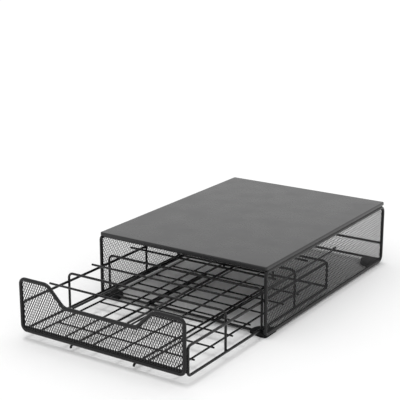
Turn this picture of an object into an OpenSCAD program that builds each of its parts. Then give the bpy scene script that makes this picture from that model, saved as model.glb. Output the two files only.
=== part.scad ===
// Coffee pod drawer: a welded wire housing with a sheet steel top that a machine stands on, and a wire
// basket with a mesh front that slides in it. Three columns of disc pods stand upright in the basket.
//
// Millimetres. +X is to the right of somebody facing the drawer, +Y is to the rear and +Z is up. The origin
// is on the table, at the middle of the whole product with the drawer standing open by drawer_open.

/* [Housing] */
// Distance between the centres of the two side frames
housing_width = 270; // [240:1:320]
// Length of a side frame between the centres of its posts
housing_depth = 358; // [340:1:420]
// Height of the top plate's upper face above the table
housing_height = 98.5; // [94:0.5:130]
// Sheet thickness of the top plate
plate_sheet = 1; // [0.8:0.1:1.6]
// Height of the lip folded down round the top plate
plate_lip = 4.8; // [4.4:0.1:8]
// Corner radius of the top plate
plate_corner = 3; // [2:0.5:8]
// How far the top plate reaches outside the centres of the side frames' wires
plate_overhang = 1.2; // [0.4:0.1:2]
// Wire diameter of the two side frames
frame_wire = 4.8; // [4:0.1:5.4]
// Bend radius at the rear corners of the side frames
frame_corner = 9; // [7:0.5:14]
// Bend radius at the front corners of the side frames, which are bent tighter
frame_front_corner = 4.5; // [4:0.5:9]
// Height of the side frames above the table
ground_gap = 1.6; // [1.2:0.1:3]
// Wire diameter of the cross bars of the housing
bar_wire = 3.8; // [3:0.1:4.4]
// Distance of the front bottom bar behind the front posts
front_bar_setback = 7.5; // [7:0.5:12]
// Distance of the rear bottom bar in front of the rear posts
rear_bar_setback = 3.7; // [3:0.1:5]
// Height of the rear bottom bar above the frame's bottom wire, up the bend of the corner
rear_bar_rise = 2; // [1.5:0.1:3]
// Height of the bar that stops the drawer at the rear, at its centre
stop_bar_height = 31.6; // [22:0.2:44]
// How far the front and rear top bars stand below the lip's edge, at their centre
top_bar_drop = 0.7; // [0:0.1:1.2]

/* [Guides] */
// Wire diameter of the two guides that the basket slides on
guide_wire = 3.2; // [2.6:0.1:3.8]
// Distance between the centres of the two guides
guide_spacing = 112; // [108:1:120]
// How far each guide stands past the bar at either end
guide_overhang = 2; // [1:0.5:3]

/* [Feet] */
// Length of a foot along the cross bar
foot_leg_x = 26; // [24:1:34]
// Length of a front foot along the side frame
foot_leg_y = 28; // [26:1:40]
// Length of a rear foot along the side frame
foot_rear_leg_y = 34; // [30:1:44]
// Radius of the large rounding at the inner corner of a foot
foot_round = 20; // [12:0.5:20]
// How far a front foot's outer edge runs along the front before it slants back to the bar
foot_heel = 9; // [6:0.5:12]
// How far a front foot reaches outside the centre of the bar that lies in it, at the end of its leg
foot_lap = 4; // [3:0.1:4.6]
// How far a rear foot reaches outside the centre of the bar that lies in it
foot_rear_lap = 0.7; // [0:0.1:1.1]
// How far a foot reaches above the centre of its bar, which lies in a slot across its top
foot_rise = 1.5; // [0.8:0.1:1.6]
// Corner radius of a foot
foot_corner = 4; // [2:0.5:5]
// How far a front foot reaches outside the centre line of the frame's wire
foot_cover = 1.6; // [1.2:0.1:2]
// How far a rear foot stays inside the centre line of the frame's wire
foot_rear_inset = 1; // [0.6:0.1:1.4]

/* [Drawer front] */
// How far the drawer stands open
drawer_open = 170; // [100:1:250]
// Height of the front panel over its wire
panel_height = 75.3; // [66:0.1:80]
// Height of the low middle of the front panel, over its wire
panel_low_height = 49.5; // [42:0.1:56]
// Width of the low middle, between the bends of the wire
panel_low_width = 114; // [90:1:130]
// Wire diameter of the front panel
panel_wire = 4.8; // [4:0.1:5.4]
// Bend radius at the four corners of the front panel
panel_corner = 7.5; // [6:0.5:12]
// Bend radius where the wire turns into and out of the slopes
panel_knee = 15; // [8:0.5:17]
// How much further in than the basket's side the front panel ends
panel_inset = 1.25; // [0.5:0.05:3]
// How far the front panel's bottom wire stands above the pod rails, centre to centre
panel_lift = 0.7; // [0:0.1:1]

/* [Basket] */
// Wire diameter of the basket's side rails
rail_wire = 3.6; // [3:0.1:4]
// Height of the basket's top side rail, at its wire's centre
rail_height = 50; // [44:0.5:54]
// How far the bottom side rail lies below the pod rails, centre to centre
rail_drop = 1.6; // [1.2:0.1:2.4]
// Bend radius at the front corners of the side rails
rail_corner = 5; // [3:0.5:8]
// Wire diameter of the hoops
hoop_wire = 3.4; // [2.8:0.1:4]
// Height of the hoops over the basket, at their wire's centre
hoop_height = 64; // [60:0.5:68]
// Bend radius of the hoops
hoop_corner = 7; // [5:0.5:12]
// How far the rear hoop stands above the top side rail
rear_hoop_rise = 1.6; // [1:0.1:3]
// Wire diameter of the straight dividers between the hoops
divider_wire = 3; // [2.4:0.1:3.4]
// Distance of a divider's free ends inside the centres of the hoops' legs
divider_inset = 4.4; // [2:0.2:10]
// Wire diameter of the two column rails that part the columns of pods
column_wire = 3; // [2.4:0.1:3.4]
// Bend radius of a column rail above the rear hoop
column_bend = 5; // [4:0.5:7]
// Wire diameter of the pod rails
pod_rail_wire = 2.6; // [2:0.1:3]
// Distance between the two pod rails of a column
pod_rail_spacing = 40; // [30:1:46]
// Wire diameter of the floor wires under the pod rails
floor_wire = 2.4; // [2:0.1:3]
// How far the floor wires stand out past the outermost pod rails, from their centre
floor_overhang = 2.8; // [2:0.1:5]
// Wire diameter of the two runners under the floor wires
runner_wire = 3.2; // [2.6:0.1:3.2]
// Distance between the centres of the two runners
runner_spacing = 100; // [96:1:101]
// How far behind the front panel's centre the runners' front ends are bent down
runner_setback = 3.4; // [2.4:0.2:5.4]
// Bend radius of the runners' front ends
runner_bend = 2.6; // [2.2:0.1:2.8]
// How far the runners' front ends reach down past their bend
runner_tip = 0.4; // [0.2:0.1:0.8]

/* [Mesh] */
// Width of one diamond of the mesh, from centre to centre
mesh_pitch_x = 9.6; // [6:0.2:16]
// Height of one diamond of the mesh, from centre to centre
mesh_pitch_z = 18.4; // [12:0.2:28]
// Width of the strands between the diamonds
mesh_strand = 1.8; // [1:0.1:2.4]
// Thickness of the mesh sheet
mesh_sheet = 0.8; // [0.6:0.1:1.2]
// Width of the plain border round the mesh
mesh_border = 2; // [1.5:0.5:4]

/* [Fits] */
// Play between the basket and the side frames, at each side
side_play = 1.35; // [0.6:0.05:3]
// Height that the basket slides above the guides
slide_play = 0.4; // [0.35:0.05:0.6]
// Distance between the shut drawer and the front posts
front_play = 0.6; // [0.4:0.1:2]
// Distance between the shut drawer and the stop bar
rear_play = 1.2; // [0.5:0.1:4]
// Gap left at each weld, where one wire lies on another
weld_gap = 0.05; // [0.02:0.01:0.1]
// Gap between a mesh sheet's edge and the wire round it
mesh_gap = 0.15; // [0.1:0.05:0.3]
// Play between a foot and the wires that it is pressed over
foot_play = 0.1; // [0.05:0.05:0.2]

/* [Hidden] */
$fn = 48;

LEFT = -1;
RIGHT = 1;
FRONT = -1;
REAR = 1;
// Columns of pods across the basket, and bays along it, with a hoop at every other bay
COLUMNS = 3;
BAYS = 8;
STEEL = "#1d1d1f";
WIRE = "#19191b";
MESH = "#232325";
RUBBER = "#101011";

// Lap of the panel wire's straights into its bends, and how much thinner they are there
wire_lap = 0.2;
lap_step = 0.02;
// Smallest opening that the edge of a mesh sheet may leave of a diamond, in square millimetres
least_opening = 3;

// Housing, measured from the centres of the front posts
frame_x = housing_width / 2;
frame_z0 = ground_gap + frame_wire / 2;
lip_z = housing_height - plate_lip;
frame_z1 = lip_z - weld_gap - frame_wire / 2;
edge_bar_z = lip_z - top_bar_drop;
edge_bar_y = plate_sheet + weld_gap + bar_wire / 2 - plate_overhang;
middle_bar_z = housing_height - plate_sheet - weld_gap - bar_wire / 2;
middle_bar_end = frame_x + plate_overhang - plate_sheet - weld_gap;
bar_end = frame_x - frame_wire / 2 - weld_gap;
front_bar_top = frame_z0 + bar_wire / 2;
rear_bar_y = housing_depth - rear_bar_setback;
rear_bar_z = frame_z0 + rear_bar_rise;
guide_z = front_bar_top + weld_gap + guide_wire / 2;
guide_rear_z = rear_bar_z + bar_wire / 2 + weld_gap + guide_wire / 2;

// Basket, measured from the centre of the front panel's wire, with heights above the table
rail_x = frame_x - frame_wire / 2 - side_play - rail_wire / 2;
panel_x = rail_x + rail_wire / 2 - panel_inset - panel_wire / 2;
shut_y = -frame_wire / 2 - front_play - panel_wire / 2;
rear_hoop_y = housing_depth - bar_wire / 2 - rear_play - hoop_wire / 2 - shut_y;
floor_z = max(guide_z + guide_wire / 2, front_bar_top + runner_wire + weld_gap)
    + slide_play + floor_wire / 2;
runner_z = floor_z - floor_wire / 2 - weld_gap - runner_wire / 2;
pod_rail_z = floor_z + floor_wire / 2 + weld_gap + pod_rail_wire / 2;
panel_z0 = pod_rail_z + panel_lift;
panel_z1 = panel_z0 + panel_height - panel_wire;
panel_low_z = panel_z0 + panel_low_height - panel_wire;
cross_bar_z = pod_rail_z + pod_rail_wire / 2 + weld_gap + hoop_wire / 2;
rail_y = panel_wire / 2 + weld_gap + rail_wire / 2;
rail_z = pod_rail_z - rail_drop;
rail_end = rear_hoop_y - hoop_wire / 2 - weld_gap;
leg_x = rail_x - rail_wire / 2 - weld_gap - hoop_wire / 2;
leg_foot = rail_z - rail_wire / 2;
bay = (rear_hoop_y - rail_y) / BAYS;
column_z = hoop_height - hoop_wire / 2 - weld_gap - column_wire / 2;
divider_z = column_z + column_wire / 2 + weld_gap + divider_wire / 2;
column_width = 2 * rail_x / COLUMNS;
column_leg_y = rear_hoop_y - hoop_wire / 2 - weld_gap - column_wire / 2;
floor_end = column_width + pod_rail_spacing / 2 + floor_overhang;

// The whole product, from the front of the panel to the back of the rear posts
front_end = shut_y - drawer_open - panel_wire / 2;
rear_end = housing_depth + frame_wire / 2;
housing_y = -(front_end + rear_end) / 2;
drawer_y = housing_y + shut_y - drawer_open;

// ---- Bent wire -------------------------------------------------------------------------------------------

// Length that a 45 degree bend of radius r takes up on each side of its corner
function knee_setback(r) = r * tan(22.5);

// Wire of diameter d in the XY plane, bent from the origin along X. Each step is a straight length, then the
// angle and radius of the bend at its end, where a positive angle turns left. The last step may lack a bend.
// Straights lap into the bends by lap, a hair thinner there, which joins them at any angle.
module bent_wire(steps, d, lap = 0, i = 0) {
    length = steps[i][0];
    angle = steps[i][1];
    r = steps[i][2];
    lap_start = i > 0 ? lap : 0;
    lap_end = is_undef(angle) ? 0 : lap;
    if (length > 0) translate([-lap_start, 0, 0]) rotate([0, 90, 0])
        cylinder(d = lap > 0 ? d - lap_step : d, h = lap_start + length + lap_end);
    if (!is_undef(angle)) translate([length, sign(angle) * r, 0]) {
        rotate(angle > 0 ? -90 : 90 + angle) rotate_extrude(angle = abs(angle))
            translate([r, 0]) circle(d = d);
        if (i < len(steps) - 1) rotate(angle) translate([0, -sign(angle) * r, 0])
            bent_wire(steps, d, lap, i + 1);
    }
}

// ---- Outlines --------------------------------------------------------------------------------------------

function unit(v) = v / norm(v);
function heading(v) = atan2(v[1], v[0]);
function at(points, i) = points[(i + len(points)) % len(points)];

// Directions from corner i of a closed outline back to the corner before it and on to the one after it
function back(points, i) = unit(at(points, i - 1) - points[i]);
function on(points, i) = unit(at(points, i + 1) - points[i]);
// Angle that the outline turns through at corner i, and the centre of the rounding there
function turned(points, i) = acos(-back(points, i) * on(points, i));
function round_centre(points, radii, i) =
    points[i] + unit(back(points, i) + on(points, i)) * radii[i] / cos(turned(points, i) / 2);

// Points of a closed outline whose corners are rounded, with steps chords to each corner
function rounded(points, radii, steps = 5) = [
    for (i = [0:len(points) - 1])
        let (
            centre = round_centre(points, radii, i),
            angle = turned(points, i),
            start = heading(points[i] + back(points, i) * radii[i] * tan(angle / 2) - centre),
            sense = sign(cross(-back(points, i), on(points, i))))
        for (k = [0:steps])
            let (bearing = start + sense * angle * k / steps)
            centre + radii[i] * [cos(bearing), sin(bearing)]
];

// Lines, each a point and an outward normal, that bound an outline drawn to the left of its edges: one for
// the edge after each listed corner, and one across each listed corner's rounding
function edge_lines(points, corners) = [
    for (i = corners) let (ahead = on(points, i)) [points[i], [ahead[1], -ahead[0]]]
];
function corner_lines(points, radii, corners) = [
    for (i = corners)
        let (centre = round_centre(points, radii, i), out = unit(points[i] - centre))
        [centre + radii[i] * out, out]
];
function mirrored(lines) = [
    for (line = lines) [[-line[0][0], line[0][1]], [-line[1][0], line[1][1]]]
];

// What is left of a convex outline inside every line
function trimmed(points, lines, i = 0) =
    i == len(lines) || len(points) < 3 ? points : trimmed(trimmed_once(points, lines[i]), lines, i + 1);
function trimmed_once(points, line) = [
    for (i = [0:len(points) - 1])
        let (
            a = points[i], b = at(points, i + 1),
            out_a = (a - line[0]) * line[1], out_b = (b - line[0]) * line[1])
        each concat(out_a <= 0 ? [a] : [], out_a * out_b < 0 ? [a + (b - a) * out_a / (out_a - out_b)] : [])
];
function area(points, i = 0) =
    len(points) < 3 || i == len(points) ? 0 : cross(points[i], at(points, i + 1)) / 2 + area(points, i + 1);

// Rectangle's corners, counted from the bottom left
function rectangle(w, h, middle) = [
    for (corner = [[-1, -1], [1, -1], [1, 1], [-1, 1]]) middle + [corner[0] * w, corner[1] * h] / 2
];

// Straight wires along one axis
module wire_x(x0, x1, y, z, d) translate([x0, y, z]) rotate([0, 90, 0]) cylinder(d = d, h = x1 - x0);
module wire_y(x, y0, y1, z, d) translate([x, y0, z]) rotate([-90, 0, 0]) cylinder(d = d, h = y1 - y0);

// Stand a drawing made in the XY plane up across the product, or along it
module upright_across(y) translate([0, y, 0]) rotate([90, 0, 0]) children();
module upright_along(x) translate([x, 0, 0]) rotate([90, 0, 90]) children();

module in_housing() translate([0, housing_y, 0]) children();
module in_drawer() translate([0, drawer_y, 0]) children();

// ---- Expanded mesh ---------------------------------------------------------------------------------------

// Share of a diamond's size that is left open between strands
mesh_open = 1 - mesh_strand * norm([mesh_pitch_x, mesh_pitch_z]) / (mesh_pitch_x * mesh_pitch_z);

// Diamond openings over [reach_x, reach_z] to each side of middle. The function lines gives, for the centre
// of a diamond, the lines where the open mesh ends near it.
module diamonds(middle, reach_x, reach_z, lines) {
    columns = ceil(reach_x / mesh_pitch_x);
    rows = ceil(2 * reach_z / mesh_pitch_z);
    w = mesh_open * mesh_pitch_x / 2;
    h = mesh_open * mesh_pitch_z / 2;
    for (row = [-rows:rows], column = [-columns:columns]) {
        c = middle + [(column + (row % 2 == 0 ? 0 : 0.5)) * mesh_pitch_x, row * mesh_pitch_z / 2];
        opening = trimmed([c - [w, 0], c - [0, h], c + [w, 0], c + [0, h]], lines(c));
        if (area(opening) > least_opening) polygon(opening);
    }
}

// ---- Housing ---------------------------------------------------------------------------------------------

// Rectangle with round corners, centred on the origin
module round_rectangle(w, h, r) {
    square([w - 2 * r, h], center = true);
    square([w, h - 2 * r], center = true);
    for (x = [-1, 1], y = [-1, 1]) translate([x * (w / 2 - r), y * (h / 2 - r)]) circle(r);
}

// Sheet steel top with its lip folded down all round
module top_plate() color(STEEL) in_housing() translate([0, housing_depth / 2, 0]) difference() {
    translate([0, 0, lip_z]) linear_extrude(plate_lip) plate_outline(0);
    translate([0, 0, lip_z - 1]) linear_extrude(plate_lip - plate_sheet + 1) plate_outline(plate_sheet);
}

// Outline of the top plate, set in from its edge by inset
module plate_outline(inset) {
    past = 2 * (plate_overhang - inset);
    round_rectangle(housing_width + past, housing_depth + past, plate_corner - inset);
}

// Closed loop of a side frame
module side_loop(side, d) {
    length = housing_depth - frame_front_corner - frame_corner;
    rear = frame_z1 - frame_z0 - 2 * frame_corner;
    front = frame_z1 - frame_z0 - 2 * frame_front_corner;
    upright_along(side * frame_x) translate([frame_front_corner, frame_z0]) bent_wire([
        [length, 90, frame_corner], [rear, 90, frame_corner],
        [length, 90, frame_front_corner], [front, 90, frame_front_corner]
    ], d);
}

module housing_frame(side) color(WIRE) in_housing() side_loop(side, frame_wire);

// Mesh sheet that fills a side frame
module side_mesh(side) {
    edge = frame_wire / 2 + mesh_gap;
    length = housing_depth - 2 * edge;
    height = frame_z1 - frame_z0 - 2 * edge;
    middle = [housing_depth / 2, (frame_z0 + frame_z1) / 2];
    bends = [frame_front_corner, frame_corner, frame_corner, frame_front_corner];
    open_path = rectangle(length - 2 * mesh_border, height - 2 * mesh_border, middle);
    open_radii = [for (bend = bends) max(bend - edge - mesh_border, 0.1)];
    lines = concat(
        edge_lines(open_path, [0:3]), corner_lines(open_path, open_radii, [0:3]));
    color(MESH) in_housing() upright_along(side * frame_x - mesh_sheet / 2)
        linear_extrude(mesh_sheet) difference() {
            polygon(rounded(rectangle(length, height, middle), [for (bend = bends) bend - edge]));
            diamonds(middle, length / 2, height / 2, function (c) lines);
        }
}

// Cross bar of the housing: between the side frames, or over them and inside the lip
module housing_bar(y, z, end = bar_end) color(WIRE) in_housing() wire_x(-end, end, y, z, bar_wire);

module front_top_bar() housing_bar(edge_bar_y, edge_bar_z);
module middle_top_bar(third) housing_bar(housing_depth * third / 3, middle_bar_z, middle_bar_end);
module rear_top_bar() housing_bar(housing_depth - edge_bar_y, edge_bar_z);
module front_bottom_bar() housing_bar(front_bar_setback, frame_z0);
module rear_bottom_bar() housing_bar(rear_bar_y, rear_bar_z);
module rear_stop_bar() housing_bar(housing_depth, stop_bar_height);

// Guide that lies on the front bottom bar and steps up over the rear one
module guide(side) {
    bend = (guide_rear_z - guide_z) / (2 - sqrt(2));
    start = front_bar_setback - bar_wire / 2 - guide_overhang;
    step_end = rear_bar_y - bar_wire / 2;
    step = 2 * bend * sin(45);
    color(WIRE) in_housing() upright_along(side * guide_spacing / 2) translate([start, guide_z])
        bent_wire([
            [step_end - step - start, 45, bend], [0, -45, bend], [bar_wire + guide_overhang]
        ], guide_wire);
}

// Outlines of a front and a rear foot, from the centre lines of the wires at its corner. X runs out from the
// housing and Y in along the side frame.
module front_foot_outline() {
    small = foot_corner / 2;
    polygon(rounded([
        [foot_cover, -foot_cover], [foot_cover, foot_leg_y], [-foot_leg_x, foot_leg_y],
        [-foot_leg_x, front_bar_setback - foot_lap], [-foot_heel, -foot_cover]
    ], [foot_corner, small, foot_round, small, small]));
}
module rear_foot_outline() {
    small = foot_corner / 2;
    start = rear_bar_setback - foot_rear_lap;
    polygon(rounded([
        [-foot_rear_inset, start], [-foot_rear_inset, foot_rear_leg_y],
        [-foot_leg_x, foot_rear_leg_y], [-foot_leg_x, start]
    ], [small, small, foot_round, small]));
}

// Rubber foot pressed over the bottom corner of a side frame and the bar that meets it. A front foot leaves
// the outer upper half of the wire bare, and a rear one holds the wire from below and from inside.
module foot(side, end) {
    front = end == FRONT;
    bar_y = front ? front_bar_setback : rear_bar_y;
    bar_z = front ? frame_z0 : rear_bar_z;
    mesh_slot = mesh_sheet / 2 + foot_play;
    color(RUBBER) in_housing() difference() {
        translate([side * frame_x, front ? 0 : housing_depth, 0]) scale([side, -end, 1]) difference() {
            linear_extrude(bar_z + foot_rise)
                if (front) front_foot_outline(); else rear_foot_outline();
            if (front) translate([-mesh_slot, -foot_cover - 1, frame_z0])
                cube([mesh_slot + foot_cover + 1, foot_leg_y + foot_cover + 2, bar_z + foot_rise]);
        }
        side_loop(side, frame_wire + 2 * foot_play);
        wire_x(-frame_x, frame_x, bar_y, bar_z, bar_wire + 2 * foot_play);
    }
}

// ---- Drawer front ----------------------------------------------------------------------------------------

// The front panel's wire rises at 45 degrees from its low middle to its high ends
low_x = panel_low_width / 2;
high_x = low_x + panel_z1 - panel_low_z;

// Corners of the front panel, or of an outline set in from it by edge
function panel_path(edge) =
    let (knee = knee_setback(edge))
    [
        [-panel_x + edge, panel_z0 + edge], [panel_x - edge, panel_z0 + edge],
        [panel_x - edge, panel_z1 - edge], [high_x + knee, panel_z1 - edge],
        [low_x + knee, panel_low_z - edge], [-low_x - knee, panel_low_z - edge],
        [-high_x - knee, panel_z1 - edge], [-panel_x + edge, panel_z1 - edge]
    ];

// Bend radii along panel_path(edge): the outer corners and upper knees tighten, the lower knees widen
function panel_radii(edge) =
    let (corner = panel_corner - edge, upper = panel_knee - edge, lower = panel_knee + edge)
    [corner, corner, corner, upper, lower, lower, upper, corner];

// The wire's two ends are butted at the middle of the bottom
module panel_frame() {
    bottom = panel_x - panel_corner - weld_gap / 2;
    upright = panel_z1 - panel_z0 - 2 * panel_corner;
    top = panel_x - panel_corner - high_x - knee_setback(panel_knee);
    slope = (high_x - low_x) * sqrt(2) - 2 * knee_setback(panel_knee);
    middle = 2 * (low_x - knee_setback(panel_knee));
    color(WIRE) in_drawer() upright_across(0) translate([weld_gap / 2, panel_z0]) bent_wire([
        [bottom, 90, panel_corner], [upright, 90, panel_corner],
        [top, 45, panel_knee], [slope, -45, panel_knee], [middle, -45, panel_knee],
        [slope, 45, panel_knee], [top, 90, panel_corner],
        [upright, 90, panel_corner], [bottom]
    ], panel_wire, wire_lap);
}

// Mesh sheet that fills the front panel
module panel_mesh() {
    edge = panel_wire / 2 + mesh_gap;
    path = panel_path(edge + mesh_border);
    radii = panel_radii(edge + mesh_border);
    low_lines = edge_lines(path, [0, 4]);
    high_lines = concat(edge_lines(path, [0:3]), corner_lines(path, radii, [1:3]));
    lines = function (c) abs(c[0]) < low_x ? low_lines : c[0] > 0 ? high_lines : mirrored(high_lines);
    color(MESH) in_drawer() upright_across(mesh_sheet / 2) linear_extrude(mesh_sheet) difference() {
        polygon(rounded(panel_path(edge), panel_radii(edge)));
        diamonds([0, (panel_z0 + panel_low_z) / 2], panel_x, panel_height, lines);
    }
}

// Bar across the back of the front panel, welded on top of the pod rails
module panel_cross_bar() color(WIRE) in_drawer()
    wire_x(-rail_x + rail_wire / 2 + weld_gap, rail_x - rail_wire / 2 - weld_gap,
        rail_y, cross_bar_z, hoop_wire);

// ---- Basket ----------------------------------------------------------------------------------------------

// Side of the basket: one wire bent into the bottom rail, the front upright and the top rail
module basket_side(side) {
    length = rail_end - rail_y - rail_corner;
    height = rail_height - rail_z - 2 * rail_corner;
    color(WIRE) in_drawer() upright_along(side * rail_x) translate([rail_end, rail_z]) rotate(180)
        bent_wire([[length, -90, rail_corner], [height, -90, rail_corner], [length]], rail_wire);
}

// Wire bent over the basket from one side to the other, open at the bottom
module over_hoop(y, x, z) {
    leg = z - leg_foot - hoop_corner;
    color(WIRE) in_drawer() upright_across(y) translate([-x, leg_foot]) rotate(90)
        bent_wire([[leg, -90, hoop_corner], [2 * (x - hoop_corner), -90, hoop_corner], [leg]], hoop_wire);
}

// Hoop i of those that part the basket, and the lower one that closes its rear
module hoop(i) over_hoop(rail_y + 2 * i * bay, leg_x, hoop_height);
module rear_hoop() over_hoop(rear_hoop_y, rail_x, rail_height + rear_hoop_rise);

module basket_rear_bar() {
    end = rail_x - hoop_wire / 2 - weld_gap;
    color(WIRE) in_drawer() wire_x(-end, end, rear_hoop_y, pod_rail_z, hoop_wire);
}

// Straight divider i, halfway between two hoops
module divider(i) {
    end = leg_x - divider_inset;
    color(WIRE) in_drawer() wire_x(-end, end, rail_y + (2 * i - 1) * bay, divider_z, divider_wire);
}

// Rail between two columns of pods, under the dividers and down the inside of the rear hoop
module column_rail(side) {
    start = panel_wire / 2 + weld_gap;
    color(WIRE) in_drawer() upright_along(side * column_width / 2) translate([start, column_z])
        bent_wire([
            [column_leg_y - start - column_bend, -90, column_bend], [column_z - column_bend - leg_foot]
        ], column_wire);
}

// Rail i of the six that the pods stand on, counted from the left
module pod_rail(i) {
    column = floor((i - 1) / 2) - 1;
    x = column * column_width + (i % 2 == 1 ? LEFT : RIGHT) * pod_rail_spacing / 2;
    color(WIRE) in_drawer() wire_y(x, panel_wire / 2 + weld_gap, rail_end, pod_rail_z, pod_rail_wire);
}

// Floor wire i, under the pod rails at each hoop and divider
module cross_floor_wire(i) color(WIRE) in_drawer()
    wire_x(-floor_end, floor_end, rail_y + i * bay, floor_z, floor_wire);

// Runner that guides the basket between the two guides. Its front end is bent down and stops in front of the
// housing's front bar.
module runner(side) {
    end = rail_y + (BAYS - 1) * bay + floor_wire;
    color(WIRE) in_drawer() upright_along(side * runner_spacing / 2) translate([end, runner_z])
        rotate(180) bent_wire([
            [end - runner_setback - runner_bend, 90, runner_bend], [runner_tip]
        ], runner_wire);
}

top_plate();
housing_frame(LEFT);  // housing_frame_left
housing_frame(RIGHT);  // housing_frame_right
side_mesh(LEFT);  // side_mesh_left
side_mesh(RIGHT);  // side_mesh_right
front_top_bar();
middle_top_bar(1);  // middle_top_bar_front
middle_top_bar(2);  // middle_top_bar_rear
rear_top_bar();
front_bottom_bar();
rear_bottom_bar();
rear_stop_bar();
guide(LEFT);  // guide_left
guide(RIGHT);  // guide_right
foot(LEFT, FRONT);  // foot_front_left
foot(RIGHT, FRONT);  // foot_front_right
foot(LEFT, REAR);  // foot_rear_left
foot(RIGHT, REAR);  // foot_rear_right
panel_frame();
panel_mesh();
panel_cross_bar();
basket_side(LEFT);  // basket_side_left
basket_side(RIGHT);  // basket_side_right
hoop(1);  // hoop_1
hoop(2);  // hoop_2
hoop(3);  // hoop_3
rear_hoop();
basket_rear_bar();
divider(1);  // divider_1
divider(2);  // divider_2
divider(3);  // divider_3
divider(4);  // divider_4
column_rail(LEFT);  // column_rail_left
column_rail(RIGHT);  // column_rail_right
pod_rail(1);  // pod_rail_1
pod_rail(2);  // pod_rail_2
pod_rail(3);  // pod_rail_3
pod_rail(4);  // pod_rail_4
pod_rail(5);  // pod_rail_5
pod_rail(6);  // pod_rail_6
cross_floor_wire(1);  // floor_wire_1
cross_floor_wire(2);  // floor_wire_2
cross_floor_wire(3);  // floor_wire_3
cross_floor_wire(4);  // floor_wire_4
cross_floor_wire(5);  // floor_wire_5
cross_floor_wire(6);  // floor_wire_6
cross_floor_wire(7);  // floor_wire_7
runner(LEFT);  // runner_left
runner(RIGHT);  // runner_right
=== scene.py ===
"""Dresses the coffee pod drawer in a studio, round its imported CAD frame.

The straight wires, the sheet top, the feet and the expanded mesh are remade here with their real
edges and their real pitch. The bent wires keep their CAD solids. Lengths are in millimetres of the
row frame until a form becomes a piece, which is in metres.
"""

from __future__ import annotations

import logging
import math
import random
from collections.abc import Callable, Iterable, Sequence
from dataclasses import dataclass, field
from enum import Enum

import bmesh
import bpy
from mathutils import Matrix, Vector, geometry


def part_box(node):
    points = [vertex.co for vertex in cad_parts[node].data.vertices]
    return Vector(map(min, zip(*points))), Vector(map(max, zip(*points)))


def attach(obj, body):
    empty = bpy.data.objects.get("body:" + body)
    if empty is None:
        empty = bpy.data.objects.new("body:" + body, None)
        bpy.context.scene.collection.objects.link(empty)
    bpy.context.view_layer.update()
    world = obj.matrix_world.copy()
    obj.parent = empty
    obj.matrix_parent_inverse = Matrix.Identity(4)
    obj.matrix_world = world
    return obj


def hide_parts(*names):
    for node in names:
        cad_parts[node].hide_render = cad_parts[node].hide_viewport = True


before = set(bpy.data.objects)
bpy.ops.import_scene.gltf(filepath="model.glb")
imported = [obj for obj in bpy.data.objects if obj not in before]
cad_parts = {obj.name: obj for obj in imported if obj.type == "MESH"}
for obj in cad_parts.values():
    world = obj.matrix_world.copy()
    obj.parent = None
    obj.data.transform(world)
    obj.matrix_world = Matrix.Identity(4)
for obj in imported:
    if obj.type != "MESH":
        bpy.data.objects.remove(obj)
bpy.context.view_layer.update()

LOG = logging.getLogger("pod_drawer")
MM = 0.001
QUARTER_TURN = math.radians(90)

Point2 = tuple[float, float]
# How far a weld reaches along X, Y and Z
Reach = tuple[float, float, float]
# A line to cut along: a point on it and its outward normal
Bound = tuple[Point2, Point2]
# Turns across, up and out of a sheet into the row frame
Place = Callable[[float, float, float], Vector]
Inputs = dict[str | int, object]


class Body(str, Enum):
    """The two rigid bodies that a piece can ride on."""

    HOUSING = "housing"
    DRAWER = "drawer"


class Slot(str, Enum):
    """The record's material slots."""

    PLATE = "plate"
    WIRE = "wire"
    MESH = "mesh"
    FOOT = "foot"


# ---- Materials ---------------------------------------------------------------------------------


def linear(hex_colour: str) -> tuple[float, float, float, float]:
    """Turn an sRGB hex colour into linear RGBA.

    Args:
        hex_colour: Six hex digits after a hash sign.

    Returns:
        Linear red, green and blue, and an alpha of one.
    """
    channels = (int(hex_colour[i : i + 2], 16) / 255 for i in (1, 3, 5))
    red, green, blue = (
        c / 12.92 if c <= 0.04045 else ((c + 0.055) / 1.055) ** 2.4 for c in channels
    )
    return red, green, blue, 1.0


def add_node(
    tree: bpy.types.NodeTree, kind: str, inputs: Inputs | None = None, **settings: object
) -> bpy.types.Node:
    """Add a shader node with its settings and links.

    Args:
        tree: The node tree that takes the node.
        kind: Blender's name for the kind of node.
        inputs: For each input, a value, or the output socket that feeds it.
        **settings: Attributes of the node itself.

    Returns:
        The new node.
    """
    node = tree.nodes.new(kind)
    for name, value in settings.items():
        setattr(node, name, value)
    for key, value in (inputs or {}).items():
        if isinstance(value, bpy.types.NodeSocket):
            tree.links.new(value, node.inputs[key])
        else:
            node.inputs[key].default_value = value
    return node


def per_metre(size_mm: float) -> float:
    """Texture scale at which one cell of a pattern measures size_mm."""
    return 1 / (size_mm * MM)


def empty_material(name: str) -> tuple[bpy.types.Material, bpy.types.NodeTree]:
    """Make a material whose node tree is empty.

    Args:
        name: The finish's name.

    Returns:
        The material and its node tree.
    """
    material = bpy.data.materials.new(name)
    material.use_nodes = True
    material.node_tree.nodes.clear()
    return material, material.node_tree


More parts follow.
